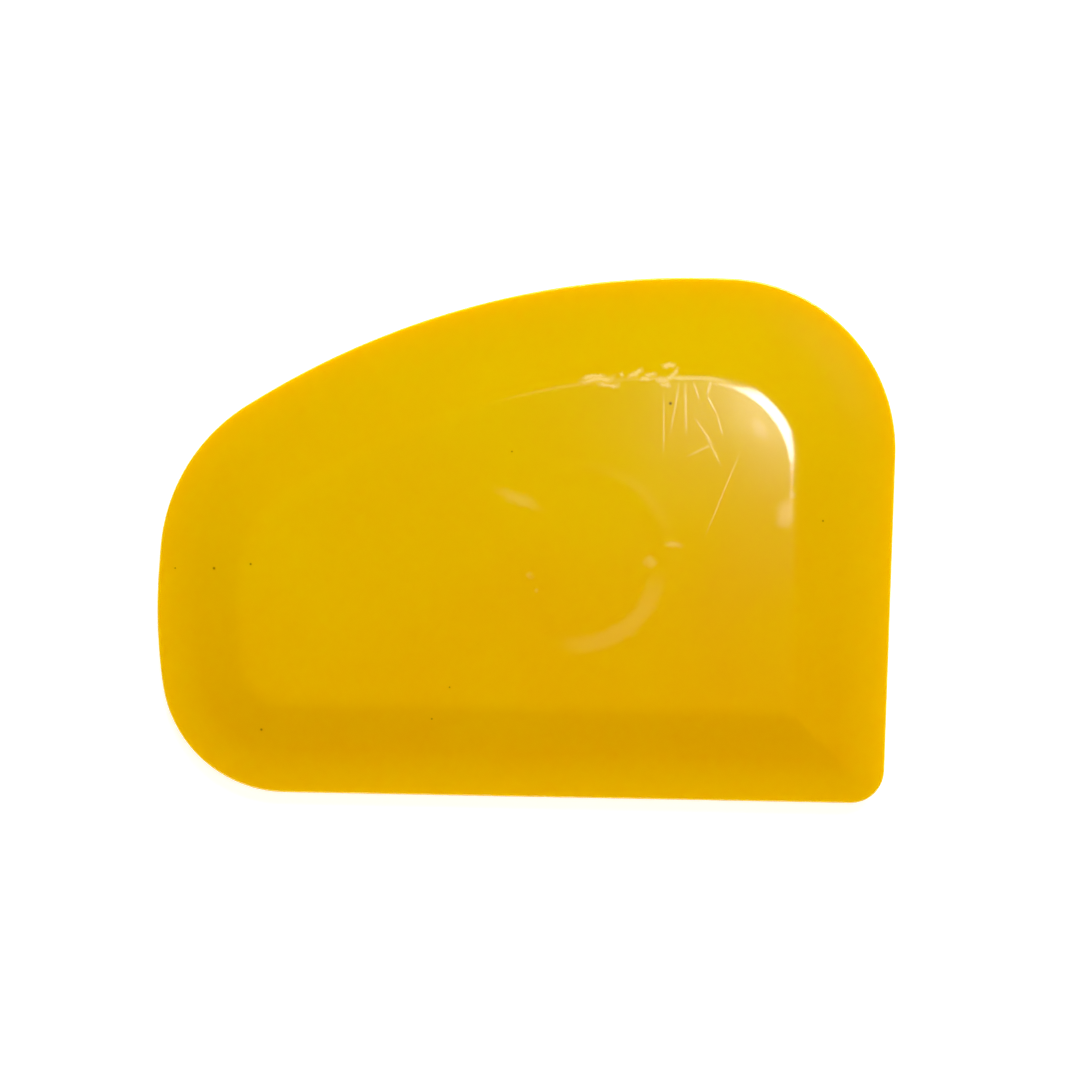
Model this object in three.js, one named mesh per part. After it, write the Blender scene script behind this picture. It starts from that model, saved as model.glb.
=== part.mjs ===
// A contour squeegee card for smoothing vinyl film: one moulding of translucent plastic.
// A flat grip plate in the middle thins out, on both faces, into a blade edge all the way round.
// The front edge is straight, its right corner is nearly square, and the other corners are rounds
// of different sizes, so that one card reaches along flat film and into curved recesses.
// Millimetres. +X along the straight front edge, +Y from the front to the back, +Z up.
// The origin is under the middle of the card, on the surface that it lies on.

import * as THREE from 'three';
import { mergeVertices } from 'three/addons/utils/BufferGeometryUtils.js';

// Overall sizes.
const LENGTH = 120;
const WIDTH = 85.3;
const THICKNESS = 5;

// The blade edge: its thickness, and how far its two arrises stand in from the parting line half-way
// up it, where the mould's halves meet.
const EDGE_THICKNESS = 1.2;
const EDGE_DRAFT = 0.12;

// Widths of the thinning margin, from the outer edge to the crease round the grip plate.
const FRONT_BLADE = 15;
const RIGHT_BLADE = 16.3;
const BACK_BLADE = 16.2;
const LEFT_BLADE = 14;

// How far the margin is hollowed below a straight slope, and how wide a round takes off the crease.
const BLADE_HOLLOW = 0.15;
const CREASE_WIDTH = 2.5;

// The low raised ring round a blank field on top of the grip plate, placed from the card's middle.
const RING_RADIUS = 14.5;
const RING_WIDTH = 5;
const RING_HEIGHT = 0.02;
const RING_CENTRE = new THREE.Vector2(8.3, -4.2);

// Radii of the outline's rounds, and of the crease at the one corner where it isn't the outline's
// round moved in by the blade.
const SQUARE_ROUND = 5.5;
const BACK_RIGHT_ROUND = 28;
const BACK_RIGHT_CREASE = 16;
const LONG_ROUND = 135.5;
const SHOULDER_ROUND = 30;
const BOWED_ROUND = 86.5;
const FRONT_LEFT_ROUND = 20.5;

// The six corners where the outline's sides would meet if they were not rounded, anticlockwise from
// the front right. Each side runs on to the next corner and thins over its own blade width.
const CORNERS = [
  { at: [59, 0], round: SQUARE_ROUND, blade: RIGHT_BLADE },
  { at: [60.4, 84.7], round: BACK_RIGHT_ROUND, crease: BACK_RIGHT_CREASE, blade: BACK_BLADE },
  { at: [-10.3, 85.9], round: LONG_ROUND, blade: BACK_BLADE },
  { at: [-58.9, 54.8], round: SHOULDER_ROUND, blade: LEFT_BLADE },
  { at: [-60.4, 26.8], round: BOWED_ROUND, blade: LEFT_BLADE },
  { at: [-56.2, 0], round: FRONT_LEFT_ROUND, blade: FRONT_BLADE },
];

// Fineness of the facets: how far an arc may stand out past its chords, and rings across each slope.
const ARC_SAG = 0.04;
const SLOPE_STEPS = 3;
const CREASE_STEPS = 2;
const RING_STEPS = 4;

// What a corner needs besides its place: how far the outline turns there, in how many chords, and the
// way it moves when both of its sides move in by their own blade widths.
function corner(spec, index, all) {
  const at = new THREE.Vector2(...spec.at);
  const before = all.at(index - 1);
  const after = all[(index + 1) % all.length];
  const arriving = at.clone().sub(new THREE.Vector2(...before.at)).normalize();
  const leaving = new THREE.Vector2(...after.at).sub(at).normalize();
  const turn = Math.acos(arriving.dot(leaving));
  const move = leaving.clone().multiplyScalar(before.blade)
    .sub(arriving.clone().multiplyScalar(spec.blade))
    .divideScalar(arriving.cross(leaving));
  const chords = Math.ceil(turn / (2 * Math.acos(1 - ARC_SAG / spec.round)));
  const crease = spec.crease ?? spec.round - (before.blade + spec.blade) / 2;
  return { at, turn, chords, move, round: spec.round, shrink: spec.round - crease };
}

// The corners after their sides have moved in by a share of the blade: 0 is the outline, 1 the crease.
function movedIn(corners, share) {
  return corners.map((c) => ({
    ...c,
    at: c.at.clone().addScaledVector(c.move, share),
    round: Math.max(c.round - share * c.shrink, 0),
  }));
}

// The largest radius at a corner for which its round and the next one fit on the side between them.
function fittingRound(c, neighbour) {
  const used = c.round * Math.tan(c.turn / 2) + neighbour.round * Math.tan(neighbour.turn / 2);
  const side = c.at.distanceTo(neighbour.at);
  return used > side ? (c.round * side) / used : c.round;
}

// The points of an outline with its corners rounded, anticlockwise, the same number for every share.
function rounded(corners) {
  return corners.flatMap((c, index) => {
    const before = corners.at(index - 1);
    const after = corners[(index + 1) % corners.length];
    const round = Math.min(fittingRound(c, before), fittingRound(c, after));
    const arriving = c.at.clone().sub(before.at).normalize();
    const inward = new THREE.Vector2(-arriving.y, arriving.x);
    const start = c.at.clone().addScaledVector(arriving, -round * Math.tan(c.turn / 2));
    const centre = start.clone().addScaledVector(inward, round);
    return Array.from({ length: c.chords + 1 }, (_, chord) =>
      start.clone().rotateAround(centre, (c.turn * chord) / c.chords));
  });
}

// The corners spread apart until their rounded outline is LENGTH by WIDTH, centred on the origin.
// The radii stay as they are set.
function cornersOfTheCard() {
  const specs = CORNERS.map((spec) => ({ ...spec, at: [...spec.at] }));
  let corners = [];
  for (let pass = 0; pass < 12; pass += 1) {
    corners = specs.map(corner);
    const box = new THREE.Box2().setFromPoints(rounded(corners));
    const size = box.getSize(new THREE.Vector2());
    const middle = box.getCenter(new THREE.Vector2());
    for (const spec of specs) {
      spec.at[0] = ((spec.at[0] - middle.x) * LENGTH) / size.x;
      spec.at[1] = ((spec.at[1] - middle.y) * WIDTH) / size.y;
    }
  }
  return corners;
}

// Height of a face above the card's mid plane at each share of the blade: from the edge, up a slope
// hollowed by a parabola, and over the crease, where share is 1, in a round half on each side of it.
function bladeProfile() {
  const edge = EDGE_THICKNESS / 2;
  const plate = THICKNESS / 2;
  const meanBlade = (FRONT_BLADE + RIGHT_BLADE + BACK_BLADE + LEFT_BLADE) / 4;
  const slopeStart = EDGE_DRAFT / meanBlade;
  const creaseShare = CREASE_WIDTH / meanBlade;
  const slopeEnd = 1 - creaseShare / 2;
  const height = (share) => {
    const along = (share - slopeStart) / (1 - slopeStart);
    return edge + (plate - edge) * along - 4 * BLADE_HOLLOW * along * (1 - along);
  };
  const points = [];
  for (let step = 0; step <= SLOPE_STEPS; step += 1) {
    const share = THREE.MathUtils.lerp(slopeStart, slopeEnd, step / SLOPE_STEPS);
    points.push({ share, z: height(share) });
  }
  const drop = plate - height(slopeEnd);
  for (let step = 1; step <= CREASE_STEPS; step += 1) {
    const along = step / CREASE_STEPS;
    points.push({ share: slopeEnd + creaseShare * along, z: plate - drop * (1 - along) ** 2 });
  }
  return points;
}

// A ring of the card: the outline moved in by a share of the blade, at one height.
function ring(corners, share, z) {
  return rounded(movedIn(corners, share)).map((p) => new THREE.Vector3(p.x, p.y, z));
}

// A circle round the middle of the raised ring, each point in line with one of the crease's.
function circle(crease, radius, z) {
  return crease.map((p) => {
    const spoke = new THREE.Vector2(p.x, p.y).sub(RING_CENTRE).setLength(radius).add(RING_CENTRE);
    return new THREE.Vector3(spoke.x, spoke.y, z);
  });
}

// The raised ring as circles from its outer foot over its crown to its inner foot, then its middle.
function raisedRing(crease) {
  const circles = [];
  for (let step = 0; step <= RING_STEPS; step += 1) {
    const across = step / RING_STEPS;
    const radius = RING_RADIUS + RING_WIDTH * (0.5 - across);
    circles.push(circle(crease, radius, THICKNESS + RING_HEIGHT * Math.sin(Math.PI * across) ** 2));
  }
  return [...circles, circle(crease, 0, THICKNESS)];
}

// Every ring of the card, from the middle of its underside, round the edge, to the middle of its top.
function cardRings() {
  const corners = cornersOfTheCard();
  const profile = bladeProfile();
  const middle = THICKNESS / 2;
  const top = profile.map(({ share, z }) => ring(corners, share, middle + z));
  const underside = profile.map(({ share, z }) => ring(corners, share, middle - z)).reverse();
  const partingLine = ring(corners, 0, middle);
  const crease = top.at(-1);
  return [circle(crease, 0, 0), ...underside, partingLine, ...top, ...raisedRing(crease)];
}

// One closed skin through rings that all have the same number of points. Rings that shrink to a point
// or share points leave no-area triangles, which are dropped.
function skin(rings) {
  const count = rings[0].length;
  const positions = rings.flat().flatMap((p) => p.toArray());
  const geometry = new THREE.BufferGeometry();
  geometry.setAttribute('position', new THREE.Float32BufferAttribute(positions, 3));
  const faces = [];
  for (let r = 0; r + 1 < rings.length; r += 1) {
    for (let i = 0; i < count; i += 1) {
      const next = (i + 1) % count;
      const [a, b] = [r * count + i, r * count + next];
      const [c, d] = [a + count, b + count];
      faces.push(a, b, d, a, d, c);
    }
  }
  geometry.setIndex(faces);
  const merged = mergeVertices(geometry, 1e-4);
  const kept = [];
  for (let i = 0; i < merged.index.count; i += 3) {
    const [a, b, c] = merged.index.array.slice(i, i + 3);
    if (a !== b && b !== c && c !== a) kept.push(a, b, c);
  }
  merged.setIndex(kept);
  merged.computeVertexNormals();
  return merged;
}

function squeegeeCard() {
  const material = new THREE.MeshStandardMaterial({ color: '#e2ad04', roughness: 0.42, metalness: 0 });
  const card = new THREE.Mesh(skin(cardRings()), material);
  card.name = 'squeegee_card';
  return card;
}

const group = new THREE.Group();
group.add(squeegeeCard());

export default group;
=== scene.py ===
# %% [markdown]
# # A contour squeegee card
#
# The real object is a hand tool for smoothing vinyl film on to a panel. It is one moulding of waxy,
# translucent yellow polyethylene: a flat grip plate in the middle that thins out on both faces into a
# blade edge. One corner is nearly square and the rest of the outline is a chain of rounds, so the same
# card works along flat film and into curved recesses.
#
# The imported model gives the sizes, the place and the frame. This file makes the fine surface that
# replaces the faceted one, then its finish, then the table, the lights and the camera.

# %% Load the fixed frame
import math

import bpy
from mathutils import Matrix, Vector


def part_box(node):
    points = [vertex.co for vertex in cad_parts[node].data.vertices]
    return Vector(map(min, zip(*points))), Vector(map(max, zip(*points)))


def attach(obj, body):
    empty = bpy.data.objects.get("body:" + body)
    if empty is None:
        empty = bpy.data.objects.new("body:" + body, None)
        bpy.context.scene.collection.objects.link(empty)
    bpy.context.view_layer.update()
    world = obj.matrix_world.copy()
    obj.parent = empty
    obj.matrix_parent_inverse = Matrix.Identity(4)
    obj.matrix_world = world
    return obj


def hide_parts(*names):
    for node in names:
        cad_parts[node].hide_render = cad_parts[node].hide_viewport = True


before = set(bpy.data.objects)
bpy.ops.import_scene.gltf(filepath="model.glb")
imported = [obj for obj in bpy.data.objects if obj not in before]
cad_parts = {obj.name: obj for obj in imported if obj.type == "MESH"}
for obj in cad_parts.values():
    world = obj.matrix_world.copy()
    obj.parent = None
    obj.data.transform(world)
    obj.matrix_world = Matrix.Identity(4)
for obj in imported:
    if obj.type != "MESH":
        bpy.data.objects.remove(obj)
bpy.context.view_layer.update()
MM = 0.001
card_low, card_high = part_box("squeegee_card")
card_middle = (card_low + card_high) / 2
print("the card's box in mm:", [round(v / MM, 2) for v in card_high - card_low])

# %% [markdown]
# ## The camera
#
# The card is seen from straight above, lying almost square to the picture. A long lens from well above
# keeps the outline free of perspective. The view is turned by about a degree, and the card lies a little
# left of the middle and a little high, so the camera's place is worked out from those two offsets.

# %% Camera
VIEW_WIDTH = 176.2 * MM
CAMERA_HEIGHT = 620 * MM
CAMERA_ROLL = math.radians(1.1)
CARD_RIGHT_OF_CENTRE = -2.22 * MM
CARD_ABOVE_CENTRE = 0.73 * MM

camera_data = bpy.data.cameras.new("camera")
camera_data.lens = camera_data.sensor_width * CAMERA_HEIGHT / VIEW_WIDTH
camera = bpy.data.objects.new("camera", camera_data)
bpy.context.scene.collection.objects.link(camera)
bpy.context.scene.camera = camera

picture_right = Vector((math.cos(CAMERA_ROLL), math.sin(CAMERA_ROLL), 0))
picture_up = Vector((-math.sin(CAMERA_ROLL), math.cos(CAMERA_ROLL), 0))
camera.location = (
    Vector((card_middle.x, card_middle.y, card_middle.z + CAMERA_HEIGHT))
    - picture_right * CARD_RIGHT_OF_CENTRE
    - picture_up * CARD_ABOVE_CENTRE
)
camera.rotation_euler = (0, 0, CAMERA_ROLL)
print("lens", round(camera_data.lens, 1), "mm at", tuple(round(v, 4) for v in camera.location))

# %% [markdown]
# ## Two helpers
#
# Every node tree below is built by one small function. It adds a node, sets its properties and fills its
# inputs, each with a plain value or with a link. A node given as a value stands for its first output.

# %% Helper that adds a node
def add(tree, kind, inputs=None, **settings):
    node = tree.nodes.new(kind)
    for name, value in settings.items():
        setattr(node, name, value)
    for key, value in (inputs or {}).items():
        if isinstance(value, bpy.types.Node):
            value = value.outputs[0]
        if isinstance(value, bpy.types.NodeSocket):
            tree.links.new(value, node.inputs[key])
        else:
            node.inputs[key].default_value = value
    return node


# %% Helper that turns a hex colour into linear light
def linear(hex_colour):
    def channel(text):
        value = int(text, 16) / 255
        return value / 12.92 if value <= 0.04045 else ((value + 0.055) / 1.055) ** 2.4

    return (*(channel(hex_colour[i:i + 2]) for i in (1, 3, 5)), 1.0)


# %% [markdown]
# ## The outline's six corners
#
# The outline is a six-sided shape with every corner rounded. Each side also has its own blade width: the
# distance over which the card thins from the grip plate to the edge. When the sides move in by their own
# widths, each corner slides along its mitre and its round gets smaller by the same amount, until the
# nearly square corner has none left. That is why a crease runs out to that corner and to no other.
#
# A mesh of six points carries these numbers as attributes, and the node tree does the rest.

# %% Sizes of the card
EDGE_THICKNESS = 1.2 * MM
EDGE_DRAFT = 0.12 * MM
EDGE_ROUND = 0.25 * MM
FRONT_BLADE = 15 * MM
RIGHT_BLADE = 16.3 * MM
BACK_BLADE = 16.2 * MM
LEFT_BLADE = 14 * MM
BLADE_HOLLOW = 0.15 * MM
CREASE_ROUND = 20 * MM
RING_RADIUS = 14.5 * MM
RING_WIDTH = 5.0 * MM
RING_HEIGHT = 0.02 * MM
RING_CENTRE = Vector((8.3, -4.2, 0)) * MM
THICKNESS = card_high.z - card_low.z - RING_HEIGHT

# Each corner: its place from the middle of the front edge, its radius on the outline and on the crease
# (None where the crease's round is the outline's moved in), and the blade of the side after it.
CORNERS = [
    ((59, 0), 5.5, None, RIGHT_BLADE),
    ((60.4, 84.7), 28, 16, BACK_BLADE),
    ((-10.3, 85.9), 135.5, None, BACK_BLADE),
    ((-58.9, 54.8), 30, None, LEFT_BLADE),
    ((-60.4, 26.8), 86.5, None, LEFT_BLADE),
    ((-56.2, 0), 20.5, None, FRONT_BLADE),
]
POINT_SPACING = 0.9 * MM


# %% The corner points and what they carry
def corner_points():
    places = [Vector(corner[0]) * MM for corner in CORNERS]
    mesh = bpy.data.meshes.new("corners")
    mesh.from_pydata([(*place, 0) for place in places], [], [])
    columns = {"move": [], "round": [], "shrink": [], "arc_cuts": [], "side_cuts": []}
    steps = [places[(index + 1) % len(places)] - place for index, place in enumerate(places)]
    turns = [steps[index - 1].angle(step) for index, step in enumerate(steps)]
    taken = [corner[1] * MM * math.tan(turn / 2) for corner, turn in zip(CORNERS, turns)]
    for index, (_, radius, crease_radius, blade) in enumerate(CORNERS):
        before = CORNERS[index - 1][3]
        follow = (index + 1) % len(CORNERS)
        arriving = steps[index - 1].normalized()
        leaving = steps[index].normalized()
        move = (leaving * before - arriving * blade) / arriving.cross(leaving)
        columns["move"].append((*move, 0))
        columns["round"].append(radius * MM)
        moved_in = (before + blade) / 2
        columns["shrink"].append(moved_in if crease_radius is None else (radius - crease_radius) * MM)
        columns["arc_cuts"].append(max(8, round(turns[index] * radius * MM / POINT_SPACING)))
        straight = steps[index].length - taken[index] - taken[follow]
        columns["side_cuts"].append(max(4, round(straight / POINT_SPACING)))
    for name, values in columns.items():
        kind = {"move": "FLOAT_VECTOR", "arc_cuts": "INT", "side_cuts": "INT"}.get(name, "FLOAT")
        attribute = mesh.attributes.new(name, kind, "POINT")
        if kind == "FLOAT_VECTOR":
            attribute.data.foreach_set("vector", [v for value in values for v in value])
        else:
            attribute.data.foreach_set("value", values)
    print("points on each round:", columns["arc_cuts"], "and on each side:", columns["side_cuts"])
    return mesh


corners_mesh = corner_points()


# %% [markdown]
# ## The blade's section
#
# A section is what a saw cut across the margin would show: up from the parting line, over the arris of
# the edge, along the slope, and over the crease to the grip plate. It is drawn once, with sharp points,
# and Fillet Curve rounds them: a small radius at the arris and a long one at the crease, which is what
# makes the crease a soft bright line instead of a hard one.
#
# X is the distance in from the edge, and Z the height over the card's mid plane.

# %% A node group that draws the section
def group_with(name, inputs):
    tree = bpy.data.node_groups.new(name, "GeometryNodeTree")
    for label, (kind, value) in inputs.items():
        socket = tree.interface.new_socket(label, in_out="INPUT", socket_type="NodeSocket" + kind)
        if value is not None:
            socket.default_value = value
    tree.interface.new_socket("Geometry", in_out="OUTPUT", socket_type="NodeSocketGeometry")
    return tree, tree.nodes.new("NodeGroupInput").outputs, tree.nodes.new("NodeGroupOutput").inputs


def pick(tree, index, kind, values):
    node = add(tree, "GeometryNodeIndexSwitch", data_type=kind)
    while len(node.index_switch_items) < len(values):
        node.index_switch_items.new()
    tree.links.new(index.outputs[0], node.inputs["Index"])
    for place, value in enumerate(values):
        if isinstance(value, bpy.types.Node):
            value = value.outputs[0]
        if isinstance(value, bpy.types.NodeSocket):
            tree.links.new(value, node.inputs[place + 1])
        else:
            node.inputs[place + 1].default_value = value
    return node


SECTION_INPUTS = {
    "Blade": ("Float", (FRONT_BLADE + RIGHT_BLADE + BACK_BLADE + LEFT_BLADE) / 4),
    "Thickness": ("Float", THICKNESS),
    "Edge Thickness": ("Float", EDGE_THICKNESS),
    "Edge Draft": ("Float", EDGE_DRAFT),
    "Edge Round": ("Float", EDGE_ROUND),
    "Crease Round": ("Float", CREASE_ROUND),
    "Crease Margin": ("Float", 1.6 * MM),
    "Hollow": ("Float", BLADE_HOLLOW),
    "Row Spacing": ("Float", 0.75 * MM),
}


def section_group():
    tree, given, result = group_with("blade_section", SECTION_INPUTS)
    plate = add(tree, "ShaderNodeMath", {0: given["Thickness"], 1: 0.5}, operation="MULTIPLY")
    edge = add(tree, "ShaderNodeMath", {0: given["Edge Thickness"], 1: 0.5}, operation="MULTIPLY")
    inner = add(tree, "ShaderNodeMath", {0: given["Blade"], 1: given["Crease Margin"]}, operation="ADD")
    arris_point = add(tree, "ShaderNodeCombineXYZ", {"X": given["Edge Draft"], "Z": edge})
    crease_point = add(tree, "ShaderNodeCombineXYZ", {"X": given["Blade"], "Z": plate})
    plate_point = add(tree, "ShaderNodeCombineXYZ", {"X": inner, "Z": plate})
    line = add(tree, "GeometryNodeMeshLine", {"Count": 4})
    index = add(tree, "GeometryNodeInputIndex")
    places = pick(tree, index, "VECTOR", [(0, 0, 0), arris_point, crease_point, plate_point])
    drawn = add(tree, "GeometryNodeSetPosition", {"Geometry": line, "Position": places})
    curve = add(tree, "GeometryNodeMeshToCurve", {"Mesh": drawn})
    radii = pick(tree, index, "FLOAT", [0.0, given["Edge Round"], given["Crease Round"], 0.0])
    rounded = add(tree, "GeometryNodeFilletCurve",
                  {"Curve": curve, "Count": pick(tree, index, "INT", [1, 5, 15, 1]), "Radius": radii,
                   "Limit Radius": True}, mode="POLY")
    # Long segments get more points, so that every row of faces is about as deep as the spacing asks.
    after = add(tree, "GeometryNodeOffsetPointInCurve", {"Offset": 1})
    position = add(tree, "GeometryNodeInputPosition")
    ahead = add(tree, "GeometryNodeFieldAtIndex",
                {"Index": after.outputs["Point Index"], "Value": position}, data_type="FLOAT_VECTOR")
    gap = add(tree, "ShaderNodeVectorMath", {0: position, 1: ahead}, operation="DISTANCE")
    cuts = add(tree, "ShaderNodeMath", {0: gap.outputs["Value"], 1: given["Row Spacing"]},
               operation="DIVIDE")
    fine = add(tree, "GeometryNodeSubdivideCurve", {"Curve": rounded, "Cuts": cuts})
    # The slope is hollowed by a bump that starts and ends level.
    apart = add(tree, "ShaderNodeSeparateXYZ", {0: position})
    along = add(tree, "ShaderNodeMapRange",
                {"Value": apart.outputs["X"], "From Min": given["Edge Draft"], "From Max": given["Blade"],
                 "To Max": math.pi})
    bump = add(tree, "ShaderNodeMath", {0: along}, operation="SINE")
    squared = add(tree, "ShaderNodeMath", {0: bump, 1: 2.0}, operation="POWER")
    depth = add(tree, "ShaderNodeMath", {0: squared, 1: given["Hollow"]}, operation="MULTIPLY")
    down = add(tree, "ShaderNodeMath", {0: depth, 1: -1.0}, operation="MULTIPLY")
    offset = add(tree, "ShaderNodeCombineXYZ", {"Z": down})
    hollowed = add(tree, "GeometryNodeSetPosition", {"Geometry": fine, "Offset": offset})
    tree.links.new(hollowed.outputs[0], result[0])
    return tree


blade_section = section_group()
print("section group:", len(blade_section.nodes), "nodes")

# %% [markdown]
# ## One face of the card
#
# The section is now carried round the outline. The six corners are copied once for each point of the
# section. On each copy the corners slide in along their mitres and rise to the section's height, and
# Fillet Curve rounds them with whatever radius they have left. All copies then have the same number of
# points, so a grid can be laid over them: each row of the grid is one copy, each column one point.
#
# Beyond the crease the grid's rows go on across the grip plate and over the raised ring to its middle.

# %% Rings of the outline, one for each point of the section
# The least round that a corner keeps.
SMALLEST_ROUND = 0.0005 * MM


def outline_rings(tree, given, section):
    """The rounded outline once for each section point, and how many points the section and a ring have."""
    rows = add(tree, "GeometryNodeAttributeDomainSize", {0: section}, component="CURVE")
    points = add(tree, "GeometryNodeMeshToPoints", {"Mesh": given["Corners"], "Radius": 0.0})
    spline = add(tree, "GeometryNodePointsToCurves", {"Points": points})
    closed = add(tree, "GeometryNodeSetSplineCyclic", {"Geometry": spline, "Cyclic": True})
    copies = add(tree, "GeometryNodeDuplicateElements",
                 {"Geometry": closed, "Amount": rows.outputs["Point Count"]}, domain="SPLINE")
    held = add(tree, "GeometryNodeStoreNamedAttribute",
               {"Geometry": copies, "Name": "row", "Value": copies.outputs["Duplicate Index"]},
               data_type="INT", domain="CURVE")
    row = add(tree, "GeometryNodeInputNamedAttribute", {"Name": "row"}, data_type="INT")
    position = add(tree, "GeometryNodeInputPosition")
    on_section = add(tree, "GeometryNodeSampleIndex", {"Geometry": section, "Value": position, "Index": row},
                     data_type="FLOAT_VECTOR", domain="POINT")
    apart = add(tree, "ShaderNodeSeparateXYZ", {0: on_section})
    share = add(tree, "ShaderNodeMath", {0: apart.outputs["X"], 1: given["Blade"]}, operation="DIVIDE")
    move = add(tree, "GeometryNodeInputNamedAttribute", {"Name": "move"}, data_type="FLOAT_VECTOR")
    mitre = add(tree, "ShaderNodeVectorMath", {0: move, "Scale": share}, operation="SCALE")
    lift = add(tree, "ShaderNodeCombineXYZ", {"Z": apart.outputs["Z"]})
    offset = add(tree, "ShaderNodeVectorMath", {0: mitre, 1: lift}, operation="ADD")
    moved = add(tree, "GeometryNodeSetPosition", {"Geometry": held, "Offset": offset})
    numbered = add(tree, "GeometryNodeStoreNamedAttribute",
                   {"Geometry": moved, "Name": "corner", "Value": local_index(tree, len(CORNERS))},
                   data_type="INT", domain="POINT")
    full = add(tree, "GeometryNodeInputNamedAttribute", {"Name": "round"}, data_type="FLOAT")
    shrink = add(tree, "GeometryNodeInputNamedAttribute", {"Name": "shrink"}, data_type="FLOAT")
    lost = add(tree, "ShaderNodeMath", {0: shrink, 1: share}, operation="MULTIPLY")
    left = add(tree, "ShaderNodeMath", {0: full, 1: lost}, operation="SUBTRACT")
    radius = add(tree, "ShaderNodeMath", {0: left, 1: SMALLEST_ROUND}, operation="MAXIMUM")
    arc_cuts = add(tree, "GeometryNodeInputNamedAttribute", {"Name": "arc_cuts"}, data_type="INT")
    rounded = add(tree, "GeometryNodeFilletCurve",
                  {"Curve": numbered, "Count": arc_cuts, "Radius": radius, "Limit Radius": True},
                  mode="POLY")
    # Only the last point of each round is followed by a straight side, so only it asks for cuts.
    corner = add(tree, "GeometryNodeInputNamedAttribute", {"Name": "corner"}, data_type="INT")
    after = add(tree, "GeometryNodeOffsetPointInCurve", {"Offset": 1})
    ahead = add(tree, "GeometryNodeFieldAtIndex",
                {"Index": after.outputs["Point Index"], "Value": corner}, data_type="INT")
    is_side = add(tree, "FunctionNodeCompare", {2: corner, 3: ahead}, data_type="INT", operation="NOT_EQUAL")
    side_cuts = add(tree, "GeometryNodeInputNamedAttribute", {"Name": "side_cuts"}, data_type="INT")
    cuts = add(tree, "ShaderNodeMath", {0: is_side, 1: side_cuts}, operation="MULTIPLY")
    fine = add(tree, "GeometryNodeSubdivideCurve", {"Curve": rounded, "Cuts": cuts})
    total = add(tree, "GeometryNodeAttributeDomainSize", {0: fine}, component="CURVE")
    around = add(tree, "ShaderNodeMath",
                 {0: total.outputs["Point Count"], 1: rows.outputs["Point Count"]}, operation="DIVIDE")
    return fitted(tree, given, fine), rows.outputs["Point Count"], around


def local_index(tree, count):
    """A point's own number within its spline, when every spline has the same count of points."""
    index = add(tree, "GeometryNodeInputIndex")
    return add(tree, "ShaderNodeMath", {0: index, 1: float(count)}, operation="FLOORED_MODULO")


def fitted(tree, given, curves):
    """The rings centred and stretched by a hair, so that the outermost is exactly Length by Width."""
    box = add(tree, "GeometryNodeBoundBox", {"Geometry": curves})
    ends = {0: box.outputs["Max"], 1: box.outputs["Min"]}
    size = add(tree, "ShaderNodeVectorMath", ends, operation="SUBTRACT")
    both = add(tree, "ShaderNodeVectorMath", ends, operation="ADD")
    middle = add(tree, "ShaderNodeVectorMath", {0: both, 1: (0.5, 0.5, 0)}, operation="MULTIPLY")
    wanted = add(tree, "ShaderNodeCombineXYZ", {"X": given["Length"], "Y": given["Width"]})
    ratio = add(tree, "ShaderNodeVectorMath", {0: wanted, 1: size}, operation="DIVIDE")
    flat_ratio = add(tree, "ShaderNodeVectorMath", {0: ratio, 1: (1, 1, 0)}, operation="MULTIPLY")
    scale = add(tree, "ShaderNodeVectorMath", {0: flat_ratio, 1: (0, 0, 1)}, operation="ADD")
    position = add(tree, "GeometryNodeInputPosition")
    centred = add(tree, "ShaderNodeVectorMath", {0: position, 1: middle}, operation="SUBTRACT")
    stretched = add(tree, "ShaderNodeVectorMath", {0: centred, 1: scale}, operation="MULTIPLY")
    return add(tree, "GeometryNodeSetPosition", {"Geometry": curves, "Position": stretched})


# %% A node group that lays a grid over the rings
# The hollows of a cooling moulding: how deep they are, the row from the edge where they start, and the
# seed of each face's own pattern.
SINK_DEPTH = 0.06 * MM
FIRST_SUNK_ROW = 8.0
TOP_SEED = 3.0
UNDERSIDE_SEED = 8.0

FACE_INPUTS = {
    "Corners": ("Geometry", None),
    "Length": ("Float", card_high.x - card_low.x),
    "Width": ("Float", card_high.y - card_low.y),
    **SECTION_INPUTS,
    "Ring Centre": ("Vector", tuple(RING_CENTRE)),
    "Ring Radius": ("Float", RING_RADIUS),
    "Ring Width": ("Float", RING_WIDTH),
    "Ring Height": ("Float", RING_HEIGHT),
    "Plate Rows": ("Int", 22),
    "Ring Rows": ("Int", 12),
    "Field Rows": ("Int", 12),
    "Sink": ("Float", SINK_DEPTH),
    "Sink Size": ("Float", 28 * MM),
    "Seed": ("Float", TOP_SEED),
}


def between(tree, value, low, count):
    """0 up to row low, 1 from row low + count on, and even steps between them."""
    high = add(tree, "ShaderNodeMath", {0: low, 1: count}, operation="ADD")
    return add(tree, "ShaderNodeMapRange", {"Value": value, "From Min": low, "From Max": high}), high


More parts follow.
